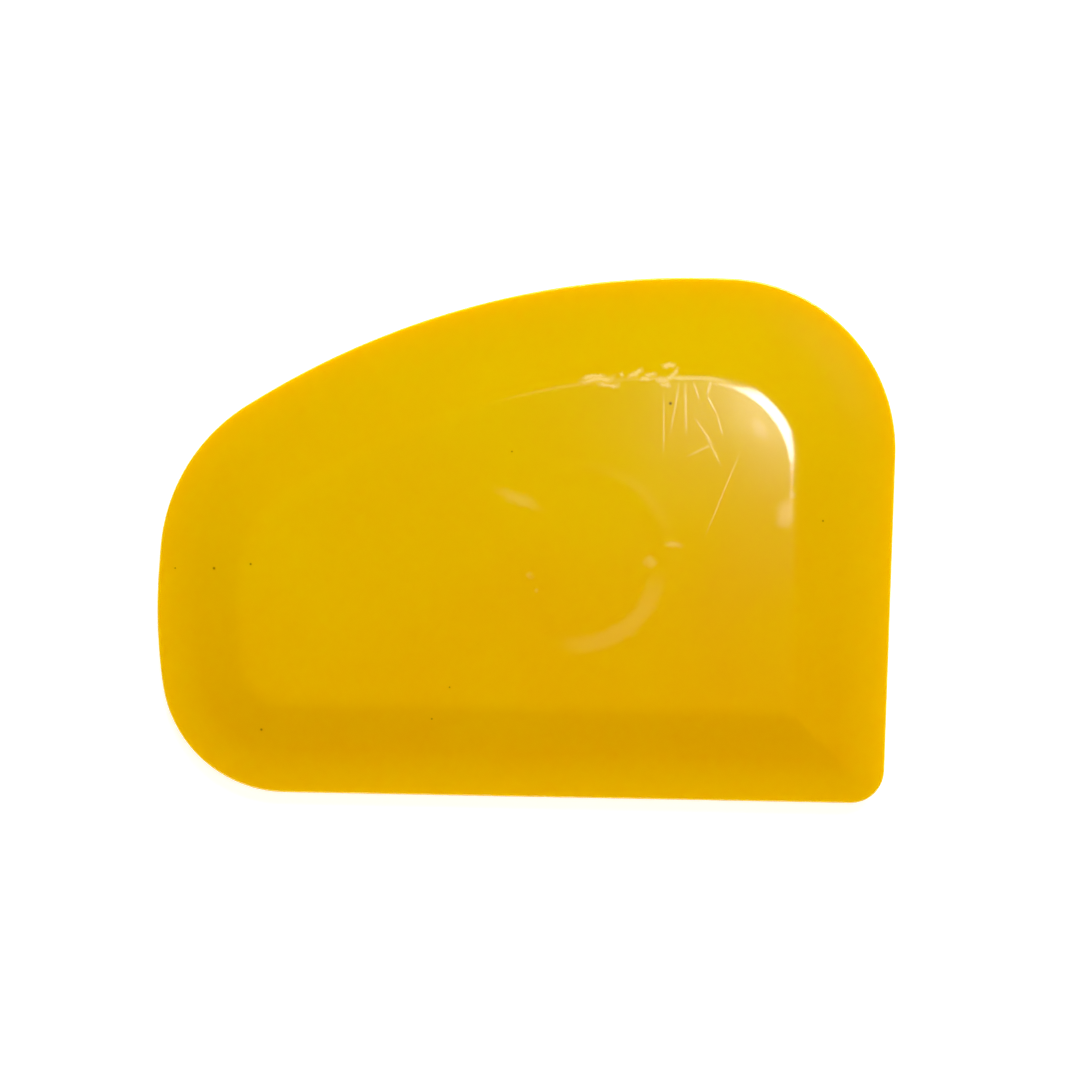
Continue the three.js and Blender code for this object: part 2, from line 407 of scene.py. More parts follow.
def face_group():
    tree, given, result = group_with("card_face", FACE_INPUTS)
    section = add(tree, "GeometryNodeGroup", node_tree=blade_section)
    for name in SECTION_INPUTS:
        tree.links.new(given[name], section.inputs[name])
    rings, blade_rows, around = outline_rings(tree, given, section)
    crease_row = add(tree, "ShaderNodeMath", {0: blade_rows, 1: 1.0}, operation="SUBTRACT")
    index = add(tree, "GeometryNodeInputIndex")
    columns = add(tree, "ShaderNodeMath", {0: around, 1: 1.0}, operation="ADD")
    ratio = add(tree, "ShaderNodeMath", {0: index, 1: columns}, operation="DIVIDE")
    row = add(tree, "ShaderNodeMath", {0: ratio}, operation="FLOOR")
    column = add(tree, "ShaderNodeMath", {0: index, 1: columns}, operation="FLOORED_MODULO")
    place = add(tree, "ShaderNodeMath", {0: column, 1: around}, operation="FLOORED_MODULO")

    # Where the section's rows end, a row keeps reading the crease and slides towards the raised ring.
    read_row = add(tree, "ShaderNodeMath", {0: row, 1: crease_row}, operation="MINIMUM")
    start = add(tree, "ShaderNodeMath", {0: read_row, 1: around}, operation="MULTIPLY")
    read = add(tree, "ShaderNodeMath", {0: start, 1: place}, operation="ADD")
    position = add(tree, "GeometryNodeInputPosition")
    outer = add(tree, "GeometryNodeSampleIndex", {"Geometry": rings, "Value": position, "Index": read},
                data_type="FLOAT_VECTOR", domain="POINT")
    plate, plate_end = between(tree, row, crease_row, given["Plate Rows"])
    over, ring_end = between(tree, row, plate_end, given["Ring Rows"])
    field, last_row = between(tree, row, ring_end, given["Field Rows"])

    half = add(tree, "ShaderNodeMath", {0: given["Ring Width"], 1: 0.5}, operation="MULTIPLY")
    foot = add(tree, "ShaderNodeMath", {0: given["Ring Radius"], 1: half}, operation="ADD")
    covered = add(tree, "ShaderNodeMath", {0: given["Ring Width"], 1: over}, operation="MULTIPLY")
    on_ring = add(tree, "ShaderNodeMath", {0: foot, 1: covered}, operation="SUBTRACT")
    remaining = add(tree, "ShaderNodeMath", {0: 1.0, 1: field}, operation="SUBTRACT")
    radius = add(tree, "ShaderNodeMath", {0: on_ring, 1: remaining}, operation="MULTIPLY")
    from_centre = add(tree, "ShaderNodeVectorMath", {0: outer, 1: given["Ring Centre"]},
                      operation="SUBTRACT")
    flat = add(tree, "ShaderNodeVectorMath", {0: from_centre, 1: (1, 1, 0)}, operation="MULTIPLY")
    spoke = add(tree, "ShaderNodeVectorMath", {0: flat}, operation="NORMALIZE")
    reach = add(tree, "ShaderNodeVectorMath", {0: spoke, "Scale": radius}, operation="SCALE")
    inner = add(tree, "ShaderNodeVectorMath", {0: reach, 1: given["Ring Centre"]}, operation="ADD")
    mixed = add(tree, "ShaderNodeMix", {0: plate, 4: outer, 5: inner}, data_type="VECTOR")

    # Height: the section's own, plus the ring's rounded back, less the slow hollows of a cooling moulding.
    outer_apart = add(tree, "ShaderNodeSeparateXYZ", {0: outer})
    mixed_apart = add(tree, "ShaderNodeSeparateXYZ", {0: mixed.outputs[1]})
    turn = add(tree, "ShaderNodeMath", {0: over, 1: math.pi}, operation="MULTIPLY")
    wave = add(tree, "ShaderNodeMath", {0: turn}, operation="SINE")
    crown = add(tree, "ShaderNodeMath", {0: wave, 1: 2.0}, operation="POWER")
    ring_lift = add(tree, "ShaderNodeMath", {0: crown, 1: given["Ring Height"]}, operation="MULTIPLY")
    inward = add(tree, "ShaderNodeMapRange",
                 {"Value": row, "From Min": FIRST_SUNK_ROW, "From Max": crease_row},
                 interpolation_type="SMOOTHSTEP")
    fineness = add(tree, "ShaderNodeMath", {0: 1.0, 1: given["Sink Size"]}, operation="DIVIDE")
    level = add(tree, "ShaderNodeVectorMath", {0: mixed.outputs[1], 1: (1, 1, 0)}, operation="MULTIPLY")
    noise = add(tree, "ShaderNodeTexNoise",
                {"Vector": level, "W": given["Seed"], "Scale": fineness, "Detail": 1.5, "Roughness": 0.4},
                noise_dimensions="4D")
    deepened = add(tree, "ShaderNodeMapRange", {"Value": noise, "From Min": 0.35, "From Max": 0.75})
    hollow = add(tree, "ShaderNodeMath", {0: deepened, 1: inward}, operation="MULTIPLY")
    sink = add(tree, "ShaderNodeMath", {0: hollow, 1: given["Sink"]}, operation="MULTIPLY")
    raised = add(tree, "ShaderNodeMath", {0: outer_apart.outputs["Z"], 1: ring_lift}, operation="ADD")
    height = add(tree, "ShaderNodeMath", {0: raised, 1: sink}, operation="SUBTRACT")
    final = add(tree, "ShaderNodeCombineXYZ",
                {"X": mixed_apart.outputs["X"], "Y": mixed_apart.outputs["Y"], "Z": height})

    rows = add(tree, "ShaderNodeMath", {0: last_row, 1: 1.0}, operation="ADD")
    grid = add(tree, "GeometryNodeMeshGrid", {"Vertices X": rows, "Vertices Y": columns})
    shaped = add(tree, "GeometryNodeSetPosition", {"Geometry": grid, "Position": final})
    tree.links.new(shaped.outputs[0], result[0])
    return tree


card_face = face_group()
print("face group:", len(card_face.nodes), "nodes")

# %% [markdown]
# ## The whole card
#
# The top face is turned over to face up. The underside is the same face without the raised ring, with
# its own hollows, mirrored down through the mid plane. Both start at the parting line, so merging points
# that share a place closes the card into one skin.

# %% The card's own tree
MERGE_DISTANCE = 0.003 * MM


def card_tree(material):
    tree, given, result = group_with(
        "moulded_card", {**FACE_INPUTS, "Underside Seed": ("Float", UNDERSIDE_SEED)})
    faces = []
    for name in ("top", "underside"):
        face = add(tree, "GeometryNodeGroup", node_tree=card_face, label=name)
        for label in FACE_INPUTS:
            tree.links.new(given[label], face.inputs[label])
        faces.append(face)
    top, underside = faces
    tree.links.remove(underside.inputs["Ring Height"].links[0])
    underside.inputs["Ring Height"].default_value = 0.0
    tree.links.new(given["Underside Seed"], underside.inputs["Seed"])
    upright = add(tree, "GeometryNodeFlipFaces", {"Mesh": top})
    position = add(tree, "GeometryNodeInputPosition")
    mirrored = add(tree, "ShaderNodeVectorMath", {0: position, 1: (1, 1, -1)}, operation="MULTIPLY")
    turned = add(tree, "GeometryNodeSetPosition", {"Geometry": underside, "Position": mirrored})
    joined = add(tree, "GeometryNodeJoinGeometry")
    tree.links.new(turned.outputs[0], joined.inputs[0])
    tree.links.new(upright.outputs[0], joined.inputs[0])
    closed = add(tree, "GeometryNodeMergeByDistance", {"Geometry": joined, "Distance": MERGE_DISTANCE})
    smooth = add(tree, "GeometryNodeSetShadeSmooth", {"Geometry": closed})
    real = add(tree, "GeometryNodeRealizeInstances", {"Geometry": smooth})
    finished = add(tree, "GeometryNodeSetMaterial", {"Geometry": real, "Material": material})
    tree.links.new(finished.outputs[0], result[0])
    return tree

# %% [markdown]
# ## The finish: moulded polyethylene
#
# The card is low-density polyethylene coloured with a yellow masterbatch. Three things make it look so.
# It is translucent, so light wanders inside it and leaves again a few millimetres away, and a thin edge
# on a pale table glows lighter and yellower than the thick plate; here that glow is painted light, laid
# into the edge's colour. It is glossy where the polished mould touched it, so it mirrors lamps with
# slightly soft outlines. And it is soft, so a used card carries hair scratches, matt rubbed spots, scuffs
# along the crease, and a few dark specks pressed into it; the marks' pale colour is partly real whitening
# and partly a painted highlight where they catch the lamp.
#
# Colour is worked out from the real thickness at each point, which Object coordinates give: the card's
# two faces mirror each other, so the thickness is twice the height over the mid plane. From it the slope
# gets painted shade and the thin edge a painted glow.

# %% Colours and scales of the plastic
# Painted light: the plate is paler where lit at the back and warmer where shaded in front; the clouds mix
# these two colours as well.
LIT_AND_PALE_COLOUR = linear("#DABA00")
SHADED_AND_WARM_COLOUR = linear("#DAA700")
# Painted shade: the slope's tint multiplies the plate's colour, making it a little darker and more orange.
SLOPE_SHADE = (0.98, 0.95, 1.0, 1.0)
# Painted light: the glow of light through the thin edge, laid into its colour.
EDGE_GLOW_COLOUR = linear("#DAB300")
# Partly the whitening of worn plastic, partly a painted highlight where scuffs, scratches and rubbed spots
# catch the lamp.
WEAR_AND_GLINT_COLOUR = linear("#F2D78A")
SPECK_COLOUR = linear("#7A5800")
CLOUD_SIZE = 24 * MM
GRAIN_SIZE = 0.35 * MM

# Painted light: the colour drifts from pale and lit at the back, where the light comes from, to warm and
# shaded in front, over this many mm each side of the middle, with clouds in it. The noise between low
# and high is what the clouds are made of.
LIGHT_DRIFT_DIRECTION = (0.05, -1.0, 0)
LIGHT_DRIFT_REACH = 38.0
CLOUD_LOW = 0.3
CLOUD_HIGH = 0.7
CLOUD_STRENGTH = 0.15

# Of the way from the plate's thickness to the edge's: where the slope's painted shade is full, and
# where the edge's painted glow starts.
SLOPE_SHADE_FULL = 0.1
EDGE_GLOW_START = 0.6

# The skin's roughness where it is best kept, where it is least well kept, and where it is rubbed matt.
POLISHED_ROUGHNESS = 0.07
WORN_ROUGHNESS = 0.10
RUBBED_ROUGHNESS = 0.36

# %% [markdown]
# ## Marks of use
#
# A card that has been used is marked in four ways. Film edges and grit draw hair scratches. The back
# crease is scuffed. Other spots of the plate are rubbed matt, and then they catch light from all over the
# room instead of mirroring one lamp. And specks of dirt get pressed in.
#
# Each mark is a mask: 1 on the mark, 0 off it. Masks of one kind are joined by taking the larger, and
# then they make the surface rougher, paler or darker. The paler colour is partly real whitening of worn
# plastic and partly a painted highlight where the marks catch the lamp. The marks are few and each lies
# at a chosen place, so they are listed in mm instead of strewn by a noise.

# %% How strong the marks are, and where they lie
# How matt and how pale each kind of mark is; the paleness is partly real whitening and partly a painted
# highlight.
MATTNESS = {"rubbed": 0.45, "scuffed": 1.0, "scratched": 0.55}
PALENESS_AND_GLINT = {"rubbed": 0.08, "scuffed": 0.45, "scratched": 0.09}

# The rubbed side of the raised ring, in mm from its centre, and the way that it faces.
RUBBED_RING_RADIUS = 13.3
RUBBED_RING_SIDE = (0.6, -0.8, 0)
RUBBED_RING_STRENGTH = 0.65

# How far a broad mark's edge is shaken, and over what distance, in mm.
SHAKE = 1.6
SHAKE_SIZE = 1.7

# How many mm a mark's place moves away for each mm below the mid plane.
UNDERSIDE_DISTANCE = 10.0

# Hair scratches and scuffs as start, end and width, specks as place and radius, and rubbed patches as
# centre, half length, half width and turn in degrees. All in mm from the card's middle.
SCRATCHES = [
    ((34.6, 14.6), (28.8, -0.2), 0.24),
    ((24.4, 26.0), (22.9, 16.2), 0.34),
    ((25.2, 26.0), (25.6, 16.4), 0.40),
    ((26.8, 19.8), (30.2, 14.9), 0.34),
    ((28.0, 18.3), (31.4, 11.8), 0.34),
    ((21.8, 24.0), (22.0, 13.0), 0.30),
    ((25.6, 13.2), (30.5, 15.6), 0.34),
    ((26.6, 25.4), (27.6, 22.6), 0.30),
    ((29.4, 25.6), (28.8, 23.2), 0.30),
    ((28.8, 23.2), (30.5, 20.3), 0.30),
    ((30.5, 20.3), (31.5, 16.8), 0.30),
]
SCUFFS = [
    ((7.8, 25.2), (14.4, 26.0), 0.7),
    ((8.0, 25.8), (12.8, 26.2), 0.5),
    ((10.8, 24.6), (14.8, 24.8), 0.6),
    ((14.5, 26.2), (15.2, 26.8), 0.6),
    ((15.9, 26.0), (18.6, 27.6), 0.6),
    ((17.8, 25.8), (19.8, 26.0), 0.6),
    ((18.6, 26.4), (20.6, 26.9), 0.5),
    ((20.4, 25.9), (22.8, 25.4), 0.8),
    ((21.0, 25.0), (23.0, 24.8), 0.5),
    ((22.2, 25.4), (24.5, 27.8), 0.6),
    ((21.2, 27.8), (24.0, 28.2), 0.6),
]
RUBS = [
    ((42.0, 4.3), 2.2, 1.5, 80),
    ((43.2, 7.4), 0.6, 0.6, 0),
    ((37.5, 18.1), 1.9, 0.9, -55),
    ((24.1, -0.9), 1.5, 0.6, -8),
    ((20.3, -3.9), 1.1, 0.9, 0),
    ((0.7, -6.4), 0.7, 0.5, 0),
    ((1.8, -9.0), 0.6, 0.4, 40),
    ((-1.5, 6.0), 3.9, 1.0, -22),
]
SPECKS = [
    ((23.0, 21.9), 0.42),
    ((-44.7, -5.5), 0.30),
    ((-42.5, -32.4), 0.32),
    ((-14.8, -30.1), 0.24),
    ((-50.7, -6.3), 0.36),
    ((-57.1, -6.4), 0.22),
    ((-2.6, 13.6), 0.22),
    ((-12.0, -24.9), 0.22),
    ((48.2, 3.3), 0.26),
]


# %% Masks for marks that lie at one place
def shader_group(name, inputs):
    tree = bpy.data.node_groups.new(name, "ShaderNodeTree")
    for label, (kind, value) in inputs.items():
        socket = tree.interface.new_socket(label, in_out="INPUT", socket_type="NodeSocket" + kind)
        socket.default_value = value
    tree.interface.new_socket("Mask", in_out="OUTPUT", socket_type="NodeSocketFloat")
    return tree, tree.nodes.new("NodeGroupInput").outputs, tree.nodes.new("NodeGroupOutput").inputs


def scratch_group():
    """1 on a straight line from Start to End, 0 a Width away from it, and thinner towards both ends."""
    tree, given, result = shader_group("hair_scratch", {
        "Place": ("Vector", (0, 0, 0)), "Start": ("Vector", (0, 0, 0)), "End": ("Vector", (1, 0, 0)),
        "Width": ("Float", 0.3)})
    along = add(tree, "ShaderNodeVectorMath", {0: given["End"], 1: given["Start"]}, operation="SUBTRACT")
    out = add(tree, "ShaderNodeVectorMath", {0: given["Place"], 1: given["Start"]}, operation="SUBTRACT")
    dot = add(tree, "ShaderNodeVectorMath", {0: out, 1: along}, operation="DOT_PRODUCT")
    square = add(tree, "ShaderNodeVectorMath", {0: along, 1: along}, operation="DOT_PRODUCT")
    share = add(tree, "ShaderNodeMath", {0: dot.outputs["Value"], 1: square.outputs["Value"]},
                operation="DIVIDE", use_clamp=True)
    nearest = add(tree, "ShaderNodeVectorMath", {0: along, "Scale": share}, operation="SCALE")
    gap = add(tree, "ShaderNodeVectorMath", {0: out, 1: nearest}, operation="DISTANCE")
    mask = add(tree, "ShaderNodeMapRange",
               {"Value": gap.outputs["Value"], "From Min": given["Width"], "From Max": 0.0},
               interpolation_type="SMOOTHSTEP")
    mirrored = add(tree, "ShaderNodeMath", {0: share, 1: 0.5}, operation="SUBTRACT")
    from_middle = add(tree, "ShaderNodeMath", {0: mirrored}, operation="ABSOLUTE")
    taper = add(tree, "ShaderNodeMapRange", {"Value": from_middle, "From Min": 0.5, "From Max": 0.2})
    tapered = add(tree, "ShaderNodeMath", {0: mask, 1: taper}, operation="MULTIPLY")
    tree.links.new(tapered.outputs[0], result[0])
    return tree


def speck_group():
    """1 at Centre and 0 from Radius on."""
    tree, given, result = shader_group("speck", {
        "Place": ("Vector", (0, 0, 0)), "Centre": ("Vector", (0, 0, 0)), "Radius": ("Float", 0.3)})
    gap = add(tree, "ShaderNodeVectorMath", {0: given["Place"], 1: given["Centre"]}, operation="DISTANCE")
    mask = add(tree, "ShaderNodeMapRange",
               {"Value": gap.outputs["Value"], "From Min": given["Radius"], "From Max": 0.0},
               interpolation_type="SMOOTHSTEP")
    tree.links.new(mask.outputs[0], result[0])
    return tree


def rub_group():
    """1 inside an ellipse and 0 outside it, with a wide soft edge."""
    tree, given, result = shader_group("rubbed_patch", {
        "Place": ("Vector", (0, 0, 0)), "Centre": ("Vector", (0, 0, 0)), "Size": ("Vector", (1, 1, 1)),
        "Turn": ("Vector", (0, 0, 0))})
    local = add(tree, "ShaderNodeMapping",
                {"Vector": given["Place"], "Location": given["Centre"], "Rotation": given["Turn"],
                 "Scale": given["Size"]}, vector_type="TEXTURE")
    gap = add(tree, "ShaderNodeVectorMath", {0: local}, operation="LENGTH")
    mask = add(tree, "ShaderNodeMapRange", {"Value": gap.outputs["Value"], "From Min": 1.4, "From Max": 0.2},
               interpolation_type="SMOOTHSTEP")
    tree.links.new(mask.outputs[0], result[0])
    return tree


hair_scratch = scratch_group()
speck = speck_group()
rubbed_patch = rub_group()


def most_of(tree, masks):
    """The largest of several masks."""
    total = masks[0]
    for mask in masks[1:]:
        total = add(tree, "ShaderNodeMath", {0: total, 1: mask}, operation="MAXIMUM")
    return total


# %% [markdown]
# ## The plastic, put together
#
# The material has three layers of decisions. First the colour: clouds, as masterbatch never mixes in
# perfectly, and painted light over them: a slow drift from lit at the back to shaded in front, painted
# shade on the slope, and a painted glow that makes the edge one even yellow. Then the marks. Then the
# surface: light enters, wanders and leaves (random-walk subsurface), under a glossy skin with a fine
# grain. The blue part of light is soaked up almost at once, so any blue in the picture is a reflection.

# %% Where a point is on the card
def places(tree):
    """The point in mm, flattened, its height over the mid plane, and its place for marks."""
    here = add(tree, "ShaderNodeTexCoord").outputs["Object"]
    in_mm = add(tree, "ShaderNodeVectorMath", {0: here, "Scale": 1 / MM}, operation="SCALE")
    apart = add(tree, "ShaderNodeSeparateXYZ", {0: in_mm})
    flat = add(tree, "ShaderNodeVectorMath", {0: in_mm, 1: (1, 1, 0)}, operation="MULTIPLY")
    middle_height = (card_low.z + THICKNESS / 2) / MM
    height = add(tree, "ShaderNodeMath", {0: apart.outputs["Z"], 1: middle_height}, operation="SUBTRACT")
    # Marks are on the top face only: below the mid plane their place is moved far away from them all.
    below = add(tree, "ShaderNodeMath", {0: height, 1: 0.0}, operation="MINIMUM")
    away = add(tree, "ShaderNodeMath", {0: below, 1: UNDERSIDE_DISTANCE}, operation="MULTIPLY")
    marked = add(tree, "ShaderNodeCombineXYZ",
                 {"X": apart.outputs["X"], "Y": apart.outputs["Y"], "Z": away})
    return in_mm, flat, height, marked


# %% The plastic's colour, with painted light and shade
def colour_and_painted_light(tree, flat, height):
    """The plate colour with its clouds and a painted light drift, painted shade on the slope and a painted
    glow at the thin edge.
    """
    clouds = add(tree, "ShaderNodeTexNoise",
                 {"Vector": flat, "Scale": MM / CLOUD_SIZE, "Detail": 2.0, "Roughness": 0.45})
    cloudy = add(tree, "ShaderNodeMapRange",
                 {"Value": clouds, "From Min": CLOUD_LOW, "From Max": CLOUD_HIGH,
                  "To Min": -CLOUD_STRENGTH, "To Max": CLOUD_STRENGTH})
    # Painted light: paler towards the back, where the light comes from, and warmer in front.
    across = add(tree, "ShaderNodeVectorMath", {0: flat, 1: LIGHT_DRIFT_DIRECTION}, operation="DOT_PRODUCT")
    painted_light_drift = add(tree, "ShaderNodeMapRange",
                {"Value": across.outputs["Value"], "From Min": -LIGHT_DRIFT_REACH, "From Max": LIGHT_DRIFT_REACH})
    clouds_and_light_drift = add(tree, "ShaderNodeMath", {0: painted_light_drift, 1: cloudy}, operation="ADD", use_clamp=True)
    plate = add(tree, "ShaderNodeMix", {0: clouds_and_light_drift, 6: LIT_AND_PALE_COLOUR, 7: SHADED_AND_WARM_COLOUR}, data_type="RGBA")

    half_thickness = add(tree, "ShaderNodeMath", {0: height}, operation="ABSOLUTE")
    thin = add(tree, "ShaderNodeMapRange",
               {"Value": half_thickness, "From Min": THICKNESS / 2 / MM,
                "From Max": EDGE_THICKNESS / 2 / MM})
    # Painted shade on the slope.
    slope_shade_share = add(tree, "ShaderNodeMapRange", {"Value": thin, "From Min": 0.0, "From Max": SLOPE_SHADE_FULL})
    slope_shaded = add(tree, "ShaderNodeMix", {0: slope_shade_share, 6: plate.outputs[2], 7: SLOPE_SHADE},
                data_type="RGBA", blend_type="MULTIPLY")
    # Painted light: the thin edge's glow.
    edge_glow_share = add(tree, "ShaderNodeMapRange", {"Value": thin, "From Min": EDGE_GLOW_START, "From Max": 1.0})
    body = add(tree, "ShaderNodeMix", {0: edge_glow_share, 6: slope_shaded.outputs[2], 7: EDGE_GLOW_COLOUR}, data_type="RGBA")
    return body.outputs[2], clouds


# %% Where the card is scratched, scuffed and specked
def strokes(tree, lines, place):
    return most_of(tree, [
        add(tree, "ShaderNodeGroup",
            {"Place": place, "Start": (*start, 0), "End": (*end, 0), "Width": width},
            node_tree=hair_scratch)
        for start, end, width in lines
    ])


def specks(tree, place):
    return most_of(tree, [
        add(tree, "ShaderNodeGroup", {"Place": place, "Centre": (*centre, 0), "Radius": radius},
            node_tree=speck)
        for centre, radius in SPECKS
    ])


def shaken_place(tree, flat, marked):
    """The place shaken a little, so that a broad mark has no ruled edge."""
    shake = add(tree, "ShaderNodeTexNoise", {"Vector": flat, "Scale": 1 / SHAKE_SIZE, "Detail": 4.0})
    centred = add(tree, "ShaderNodeVectorMath", {0: shake.outputs["Color"], 1: (0.5, 0.5, 0.5)},
                  operation="SUBTRACT")
    wobble = add(tree, "ShaderNodeVectorMath", {0: centred, 1: (SHAKE, SHAKE, 0)}, operation="MULTIPLY")
    return add(tree, "ShaderNodeVectorMath", {0: marked, 1: wobble}, operation="ADD")


# %% Where it is rubbed matt
def rubbed_ring(tree, place):
    """The inner side of the raised ring, rubbed on the side nearest the front right."""
    from_ring = add(tree, "ShaderNodeVectorMath", {0: place, 1: tuple(RING_CENTRE / MM)},
                    operation="SUBTRACT")
    ring_gap = add(tree, "ShaderNodeVectorMath", {0: from_ring}, operation="LENGTH").outputs["Value"]
    off_middle = add(tree, "ShaderNodeMath", {0: ring_gap, 1: RUBBED_RING_RADIUS}, operation="SUBTRACT")
    middle_gap = add(tree, "ShaderNodeMath", {0: off_middle}, operation="ABSOLUTE")
    on_ring = add(tree, "ShaderNodeMapRange", {"Value": middle_gap, "From Min": 2.0, "From Max": 0.6},
                  interpolation_type="SMOOTHSTEP")
    outward = add(tree, "ShaderNodeVectorMath", {0: from_ring}, operation="NORMALIZE")
    facing = add(tree, "ShaderNodeVectorMath", {0: outward, 1: RUBBED_RING_SIDE}, operation="DOT_PRODUCT")
    on_side = add(tree, "ShaderNodeMapRange",
                  {"Value": facing.outputs["Value"], "From Min": 0.6, "From Max": 0.95,
                   "To Max": RUBBED_RING_STRENGTH}, interpolation_type="SMOOTHSTEP")
    return add(tree, "ShaderNodeMath", {0: on_ring, 1: on_side}, operation="MULTIPLY")


def rubs(tree, place):
    patches = [
        add(tree, "ShaderNodeGroup",
            {"Place": place, "Centre": (*centre, 0), "Size": (length, width, 1),
             "Turn": (0, 0, math.radians(turn))}, node_tree=rubbed_patch)
        for centre, length, width, turn in RUBS
    ]
    return most_of(tree, [*patches, rubbed_ring(tree, place)])


# %% The plastic
def shares_of(tree, masks, shares):
    """The strongest of several kinds of mark, each counted at its own share."""
    return most_of(tree, [
        add(tree, "ShaderNodeMath", {0: mask, 1: shares[kind]}, operation="MULTIPLY")
        for kind, mask in masks.items()
    ])


def polyethylene():
    material = bpy.data.materials.new("yellow_moulded_polyethylene")
    material.use_nodes = True
    tree = material.node_tree
    tree.nodes.clear()
    in_mm, flat, height, marked = places(tree)
    body, clouds = colour_and_painted_light(tree, flat, height)
    shaken = shaken_place(tree, flat, marked)
    masks = {"rubbed": rubs(tree, shaken), "scuffed": strokes(tree, SCUFFS, shaken),
             "scratched": strokes(tree, SCRATCHES, marked)}
    # Paler marks: partly real whitening, partly a painted highlight where they catch the lamp.
    pale_and_glint = shares_of(tree, masks, PALENESS_AND_GLINT)
    matt = shares_of(tree, masks, MATTNESS)
    worn_and_glinting = add(tree, "ShaderNodeMix", {0: pale_and_glint, 6: body, 7: WEAR_AND_GLINT_COLOUR}, data_type="RGBA")
    soiled = add(tree, "ShaderNodeMix", {0: specks(tree, marked), 6: worn_and_glinting.outputs[2], 7: SPECK_COLOUR},
                 data_type="RGBA")

    satin = add(tree, "ShaderNodeMapRange",
                {"Value": clouds, "From Min": CLOUD_LOW, "From Max": CLOUD_HIGH,
                 "To Min": POLISHED_ROUGHNESS, "To Max": WORN_ROUGHNESS})
    gloss = add(tree, "ShaderNodeMix", {0: matt, 2: satin, 3: RUBBED_ROUGHNESS}, data_type="FLOAT")
    grain = add(tree, "ShaderNodeTexNoise",
                {"Vector": in_mm, "Scale": MM / GRAIN_SIZE, "Detail": 2.0, "Roughness": 0.6})
    grain_bump = add(tree, "ShaderNodeBump", {"Height": grain, "Strength": 0.012, "Distance": 0.02 * MM})
    scored = add(tree, "ShaderNodeMath", {0: masks["scratched"], 1: masks["scuffed"]},
                 operation="MAXIMUM")
    bump = add(tree, "ShaderNodeBump",
               {"Height": scored, "Strength": 0.08, "Distance": 0.05 * MM, "Normal": grain_bump})
    # Red light wanders furthest in this plastic, green nearly as far, and blue is soaked up at once.
    shader = add(tree, "ShaderNodeBsdfPrincipled",
                 {"Base Color": soiled.outputs[2], "Roughness": gloss, "IOR": 1.51, "Normal": bump,
                  "Subsurface Weight": 1.0, "Subsurface Radius": (1.0, 0.75, 0.1),
                  "Subsurface Scale": 2.2 * MM, "Subsurface Anisotropy": 0.0})
    shader.subsurface_method = "RANDOM_WALK"
    add(tree, "ShaderNodeOutputMaterial", {"Surface": shader})
    print("plastic:", len(tree.nodes), "nodes")
    return material


plastic = polyethylene()

# %% [markdown]
# ## Growing the card
#
# The six corner points get the tree as a modifier. Its result is copied to a plain mesh, which is then
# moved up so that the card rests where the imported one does.

# %% Grow the card from its corners
def set_inputs(modifier, values):
    sockets = {item.name: item.identifier for item in modifier.node_group.interface.items_tree
               if item.item_type == "SOCKET" and item.in_out == "INPUT"}
    for name, value in values.items():
        modifier[sockets[name]] = value


seedling = bpy.data.objects.new("card_corners", corners_mesh)
bpy.context.scene.collection.objects.link(seedling)
growth = seedling.modifiers.new("moulded_card", "NODES")
growth.node_group = card_tree(plastic)
set_inputs(growth, {"Sink": SINK_DEPTH, "Seed": TOP_SEED, "Underside Seed": UNDERSIDE_SEED})

graph = bpy.context.evaluated_depsgraph_get()
card_mesh = bpy.data.meshes.new_from_object(seedling.evaluated_get(graph), depsgraph=graph)
bpy.data.objects.remove(seedling)
card_mesh.name = "moulded_card"
card_mesh.transform(Matrix.Translation(
    (card_middle.x, card_middle.y, card_low.z + THICKNESS / 2)))
card = bpy.data.objects.new("moulded_card", card_mesh)
bpy.context.scene.collection.objects.link(card)
triangles = sum(len(face.vertices) - 2 for face in card_mesh.polygons)
print("the card:", len(card_mesh.vertices), "points,", triangles, "triangles")
low = [min(v.co[i] for v in card_mesh.vertices) / MM for i in range(3)]
high = [max(v.co[i] for v in card_mesh.vertices) / MM for i in range(3)]
print("its box in mm:", [round(v, 3) for v in low], [round(v, 3) for v in high])

# %% Hand it to the frame
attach(card, "root")
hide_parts("squeegee_card")

# %% [markdown]
# ## The table
#
# The card lies on a table of matt white acrylic that is lit from below as well as from above, as tables
# for pictures of goods are. The light that comes through it removes the shadow that the card's thin edge
# would throw. It is far too weak to shine through the card's plate, so the plastic is lit from above.

# %% Table
TABLE_HALF = 3.0
TABLE_GAP = 0.02 * MM
table_mesh = bpy.data.meshes.new("table")
table_mesh.from_pydata([(-TABLE_HALF, -TABLE_HALF, 0), (TABLE_HALF, -TABLE_HALF, 0),
                        (TABLE_HALF, TABLE_HALF, 0), (-TABLE_HALF, TABLE_HALF, 0)], [], [(0, 1, 2, 3)])
table_mesh.transform(Matrix.Translation((0, 0, card_low.z - TABLE_GAP)))
table = bpy.data.objects.new("table", table_mesh)
bpy.context.scene.collection.objects.link(table)
acrylic = bpy.data.materials.new("matt_white_acrylic")
acrylic.use_nodes = True
acrylic_shader = acrylic.node_tree.nodes["Principled BSDF"]
acrylic_shader.inputs["Base Color"].default_value = linear("#F6F6F5")
acrylic_shader.inputs["Roughness"].default_value = 0.9
acrylic_shader.inputs["Specular IOR Level"].default_value = 0.2
acrylic_shader.inputs["Emission Color"].default_value = (1, 1, 1, 1)
acrylic_shader.inputs["Emission Strength"].default_value = 0.5
table_mesh.materials.append(acrylic)

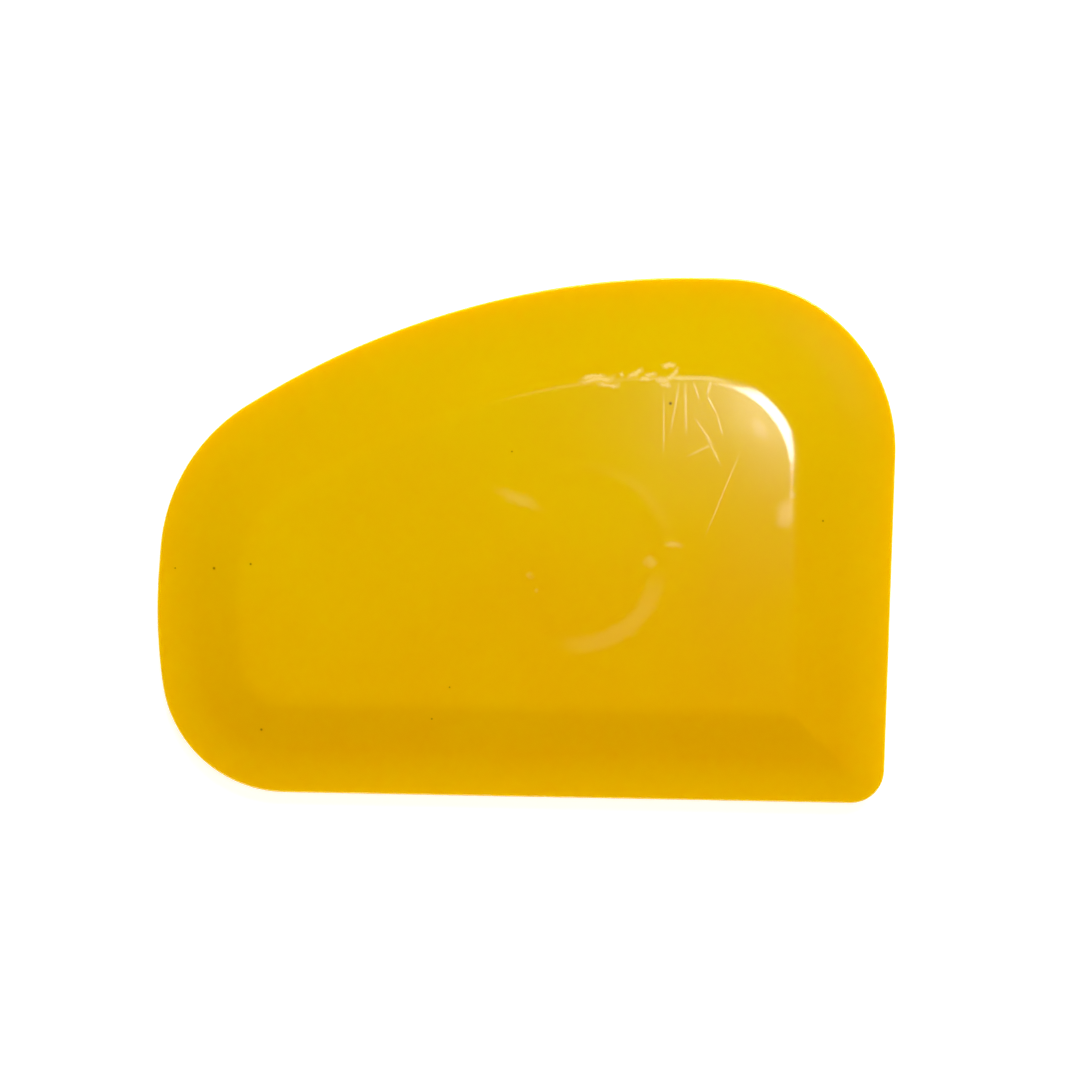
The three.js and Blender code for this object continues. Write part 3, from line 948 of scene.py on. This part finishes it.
# %% [markdown]
# ## The lights
#
# A large soft key lamp behind the card and to its right lights its back slopes more than its front ones,
# and a weak fill lamp opposite keeps the front from going dull. The sky glows only near the horizon, so
# nothing bright stands overhead for the flat plate to mirror.
#
# The highlight is another matter. The plate and the crease mirror whatever hangs over the table: a bright
# lamp just past the back right corner, which the rounded crease draws out into a curved band, a halo
# round it, faint window panes, whose light lies as a haze on the plate, and a strip that the back crease
# turns into a thin line. For a plate that faces straight up, such a lamp stands twice as far out as the
# point that shows it, and a slope moves it outwards, by 20 mm for each degree.

# %% A flat lamp
def soft_light(name, place, size, brightness, turn=0.0, aim=None, shape="RECTANGLE"):
    """A flat lamp. Its brightness is that of its face, so it stays the same when the size changes."""
    data = bpy.data.lights.new(name, "AREA")
    data.shape = shape
    data.size, data.size_y = size
    area = size[0] * size[1] * (math.pi / 4 if shape == "ELLIPSE" else 1)
    data.energy = brightness * math.pi * area
    light = bpy.data.objects.new(name, data)
    light.location = place
    if aim:
        light.rotation_euler = (Vector(aim) - Vector(place)).to_track_quat("-Z", "Y").to_euler()
    else:
        light.rotation_euler = (0, 0, math.radians(turn))
    bpy.context.scene.collection.objects.link(light)


# %% Soft light from all round
soft_light("key", (0.45, 1.7, 1.4), (1.44, 1.44), 9.7, aim=(0, 0, 0))
soft_light("fill", (-0.45, -1.7, 1.4), (1.44, 1.44), 3.3, aim=(0, 0, 0))

# %% What the plate and the crease mirror
soft_light("lamp", (0.1145, 0.0700, 0.6), (0.070, 0.060), 27, turn=45)
soft_light("halo", (0.085, 0.052, 0.602), (0.034, 0.034), 3)
soft_light("pane", (0.0560, 0.0455, 0.6), (0.036, 0.033), 0.9)
soft_light("low pane", (0.046, 0.0185, 0.6), (0.022, 0.015), 0.15)
soft_light("left pane", (0.0275, 0.0465, 0.6), (0.015, 0.023), 0.12)
soft_light("right pane", (0.086, 0.027, 0.6), (0.028, 0.020), 0.75)
soft_light("strip", (0.020, 0.105, 0.6), (0.090, 0.030), 1.0, shape="ELLIPSE")
soft_light("bright strip", (0.055, 0.100, 0.601), (0.040, 0.030), 5.0, shape="ELLIPSE")

# %% Sky
world = bpy.data.worlds.new("studio")
bpy.context.scene.world = world
world.use_nodes = True
sky = world.node_tree
sky.nodes.clear()
direction = add(sky, "ShaderNodeTexCoord").outputs["Generated"]
up = add(sky, "ShaderNodeSeparateXYZ", {0: direction}).outputs["Z"]
glow = add(sky, "ShaderNodeMapRange",
           {"Value": up, "From Min": 0.75, "From Max": 0.3, "To Max": 0.6},
           interpolation_type="SMOOTHSTEP")
background = add(sky, "ShaderNodeBackground", {"Color": (1, 1, 1, 1), "Strength": glow})
add(sky, "ShaderNodeOutputWorld", {"Surface": background})

bpy.context.scene.view_settings.view_transform = "Standard"
